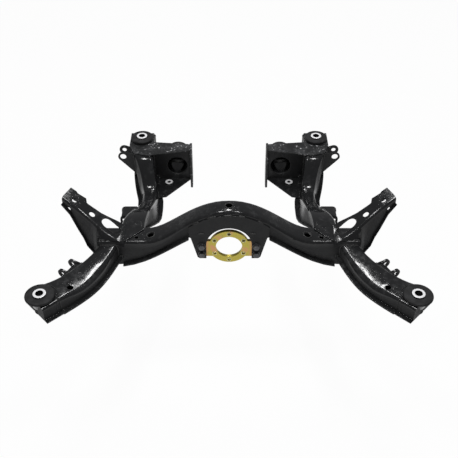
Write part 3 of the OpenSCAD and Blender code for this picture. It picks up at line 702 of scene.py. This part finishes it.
class SUBFRAME_OT_press_lips(bpy.types.Operator):
    """Raise the pressed lips round the beam's holes and the horns' oval openings"""

    bl_idname = "subframe.press_lips"
    bl_label = "Press lips"

    def execute(self, context):
        settings = context.scene.subframe_welds
        paint = bpy.data.materials["black_paint"]
        shape = bmesh.new()
        for x, y, radius, thickness in BEAM_LIPS:
            rim = laid_on(["cross_beam_upper"], ring_line((x, y, 0.0), radius))
            add_bead(shape, rim, thickness, settings)
        for sign, side in ((-1, "left"), (1, "right")):
            out = Vector((sign * math.cos(HORN_TURN), math.sin(HORN_TURN), 0.0))
            front = Vector((sign * math.sin(HORN_TURN), -math.cos(HORN_TURN), 0.0))
            foot = Vector((sign * HORN_FOOT[0], HORN_FOOT[1], 0.0))
            rim = []
            for i in range(OVAL_STEPS + 1):
                t = 2 * math.pi * i / OVAL_STEPS
                end = OVAL_ENDS[0] if math.cos(t) < 0 else OVAL_ENDS[1]
                u = end + OVAL_R * math.cos(t)
                v = OVAL_OFFSET + OVAL_R * math.sin(t)
                rim.append(foot + out * u + front * v)
            add_bead(shape, laid_on([f"{side}_horn"], rim), 0.0012, settings)
        add_piece("pressed_lips", shape, paint)
        return {"FINISHED"}


def add_turned(shape, centre, axis, profile, steps=64):
    """Adds a body turned from a closed profile of (radius, height) points round an axis."""
    way = Vector(axis)
    side = way.orthogonal().normalized()
    up = way.cross(side)
    rings = []
    for i in range(steps):
        t = 2 * math.pi * i / steps
        out = math.cos(t) * side + math.sin(t) * up
        rings.append([shape.verts.new(Vector(centre) + out * r + way * h) for r, h in profile])
    for a, b in zip(rings, rings[1:] + rings[:1]):
        for k in range(len(profile)):
            n = (k + 1) % len(profile)
            shape.faces.new((a[k], a[n], b[n], b[k]))


class SUBFRAME_OT_end_eyes(bpy.types.Operator):
    """Turn in the rear ends of the bush eyes and set the lower rubbers of the front bushes"""

    bl_idname = "subframe.end_eyes"
    bl_label = "End eyes and bushes"

    def execute(self, context):
        paint = bpy.data.materials["black_paint"]
        rubber = bpy.data.materials["rubber"]
        for side in ("left", "right"):
            low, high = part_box(f"{side}_bush_eye")
            shape = bmesh.new()
            centre = ((low[0] + high[0]) / 2, high[1], (low[2] + high[2]) / 2)
            add_turned(shape, centre, (0.0, 1.0, 0.0), EYE_LIP)
            add_piece(f"{side}_eye_lip", shape, paint, False)
            low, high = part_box(f"front_{side}_sleeve")
            shape = bmesh.new()
            centre = ((low[0] + high[0]) / 2, (low[1] + high[1]) / 2, LOWER_RUBBER_FOOT)
            add_turned(shape, centre, (0.0, 0.0, 1.0), LOWER_RUBBER)
            add_piece(f"front_{side}_lower_rubber", shape, rubber, False)
        return {"FINISHED"}


class SUBFRAME_OT_rim_ring_holes(bpy.types.Operator):
    """Turn rims round the adapter ring's holes, pale as a painted highlight of their edges"""

    bl_idname = "subframe.rim_ring_holes"
    bl_label = "Rim ring holes"

    def execute(self, context):
        settings = context.scene.subframe_welds
        shape = bmesh.new()
        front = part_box("adapter_ring")[0][1]
        for k in range(RING_HOLES):
            turn = math.radians(90 + 360 * k / RING_HOLES)
            middle = Vector((0.0, front, RING_Z))
            middle += RING_CIRCLE_R * Vector((math.cos(turn), 0.0, math.sin(turn)))
            points = []
            for i in range(RING_RIM_STEPS + 1):
                t = 2 * math.pi * i / RING_RIM_STEPS
                points.append(middle + RING_RIM_R * Vector((math.cos(t), 0.0, math.sin(t))))
            add_bead(shape, points, 0.0011, settings)
        add_piece("ring_hole_glint_rims", shape, painted_glint_zinc().material)
        return {"FINISHED"}


def stage_floor(settings):
    """A wide white floor that keeps the shadow."""
    reach = 12.0
    low = cad_box[0][2] - settings.floor_drop
    mesh = bpy.data.meshes.new("stage_floor")
    shape = bmesh.new()
    corners = [shape.verts.new((x * reach, y * reach, low)) for x, y in ((-1, -1), (1, -1), (1, 1), (-1, 1))]
    shape.faces.new(corners)
    shape.to_mesh(mesh)
    shape.free()
    floor = bpy.data.objects.new("stage_floor", mesh)
    bpy.context.scene.collection.objects.link(floor)
    material = bpy.data.materials.new("stage_white")
    material.use_nodes = True
    tree = material.node_tree
    start = Shade(tree)
    path = tree.nodes.new("ShaderNodeLightPath")
    by_camera, by_gloss, through = (
        Shade(tree, path.outputs[name]) for name in ("Is Camera Ray", "Is Glossy Ray", "Is Transmission Ray")
    )
    seen = start.calc("MAXIMUM", by_camera, start.calc("MAXIMUM", by_gloss, through))
    matt = start.add("ShaderNodeBsdfDiffuse", inputs={"Color": (0.95, 0.95, 0.95)})
    glow = start.add("ShaderNodeEmission", inputs={"Color": (1.0, 1.0, 1.0), "Strength": 1.0})
    mixed = start.add("ShaderNodeMixShader", inputs={0: seen * settings.floor_glow, 1: matt, 2: glow})
    tree.links.new(mixed.socket, tree.nodes["Material Output"].inputs["Surface"])
    mesh.materials.append(material)


def area_lamp(name, place, target, width, depth, power):
    """A soft lamp at a place, turned to a target."""
    lamp = bpy.data.lights.new(name, "AREA")
    lamp.shape = "RECTANGLE"
    lamp.size = width
    lamp.size_y = depth
    lamp.energy = power
    holder = bpy.data.objects.new(name, lamp)
    holder.location = place
    holder.rotation_euler = (Vector(target) - Vector(place)).to_track_quat("-Z", "Y").to_euler()
    bpy.context.scene.collection.objects.link(holder)


class SUBFRAME_OT_set_stage(bpy.types.Operator):
    """Set up the floor, the soft lamps and the camera"""

    bl_idname = "subframe.set_stage"
    bl_label = "Set stage"

    def execute(self, context):
        scene = context.scene
        settings = scene.subframe_stage
        scene.view_settings.view_transform = "Standard"
        stage_floor(settings)
        world = bpy.data.worlds.new("studio")
        world.use_nodes = True
        scene.world = world
        world.node_tree.nodes["Background"].inputs["Color"].default_value = (*settings.around, 1.0)
        area_lamp("back_strip", (0.0, 1.6, 2.3), (0.0, 1.0, 0.0), 0.17, 1.0, settings.strip_power)
        for name, sign in (("left_box", -1), ("right_box", 1)):
            place = (0.5 * sign, 0.0, 2.2)
            area_lamp(name, place, (0.42 * sign, 0.2, 0.0), 0.3, 0.4, settings.box_power)
        camera = bpy.data.cameras.new("camera")
        camera.lens = settings.lens
        camera.sensor_width = 36.0
        holder = bpy.data.objects.new("camera", camera)
        holder.location = settings.camera_place
        holder.rotation_euler = (settings.camera_tilt, 0.0, 0.0)
        scene.collection.objects.link(holder)
        scene.camera = holder
        return {"FINISHED"}


STEPS = (
    SUBFRAME_OT_soften_edges,
    SUBFRAME_OT_paint_pressings,
    SUBFRAME_OT_plate_adapter,
    SUBFRAME_OT_finish_bushes,
    SUBFRAME_OT_run_welds,
    SUBFRAME_OT_press_lips,
    SUBFRAME_OT_end_eyes,
    SUBFRAME_OT_rim_ring_holes,
    SUBFRAME_OT_set_stage,
)


class SUBFRAME_PT_sidebar(bpy.types.Panel):
    """Lists the steps that dress the subframe"""

    bl_idname = "SUBFRAME_PT_sidebar"
    bl_label = "Subframe"
    bl_space_type = "VIEW_3D"
    bl_region_type = "UI"
    bl_category = "Subframe"

    def draw(self, context):
        for step in STEPS:
            self.layout.operator(step.bl_idname)


CLASSES = (FinishSettings, EdgeSettings, WeldSettings, StageSettings, *STEPS, SUBFRAME_PT_sidebar)


def register():
    for item in CLASSES:
        bpy.utils.register_class(item)
    bpy.types.Scene.subframe_finish = bpy.props.PointerProperty(type=FinishSettings)
    bpy.types.Scene.subframe_edges = bpy.props.PointerProperty(type=EdgeSettings)
    bpy.types.Scene.subframe_welds = bpy.props.PointerProperty(type=WeldSettings)
    bpy.types.Scene.subframe_stage = bpy.props.PointerProperty(type=StageSettings)


def unregister():
    del bpy.types.Scene.subframe_stage
    del bpy.types.Scene.subframe_welds
    del bpy.types.Scene.subframe_edges
    del bpy.types.Scene.subframe_finish
    for item in reversed(CLASSES):
        bpy.utils.unregister_class(item)


def main():
    register()
    bpy.ops.subframe.soften_edges()
    bpy.ops.subframe.paint_pressings()
    bpy.ops.subframe.plate_adapter()
    bpy.ops.subframe.finish_bushes()
    bpy.ops.subframe.run_welds()
    bpy.ops.subframe.press_lips()
    bpy.ops.subframe.end_eyes()
    bpy.ops.subframe.rim_ring_holes()
    bpy.ops.subframe.set_stage()


if __name__ == "__main__":
    main()
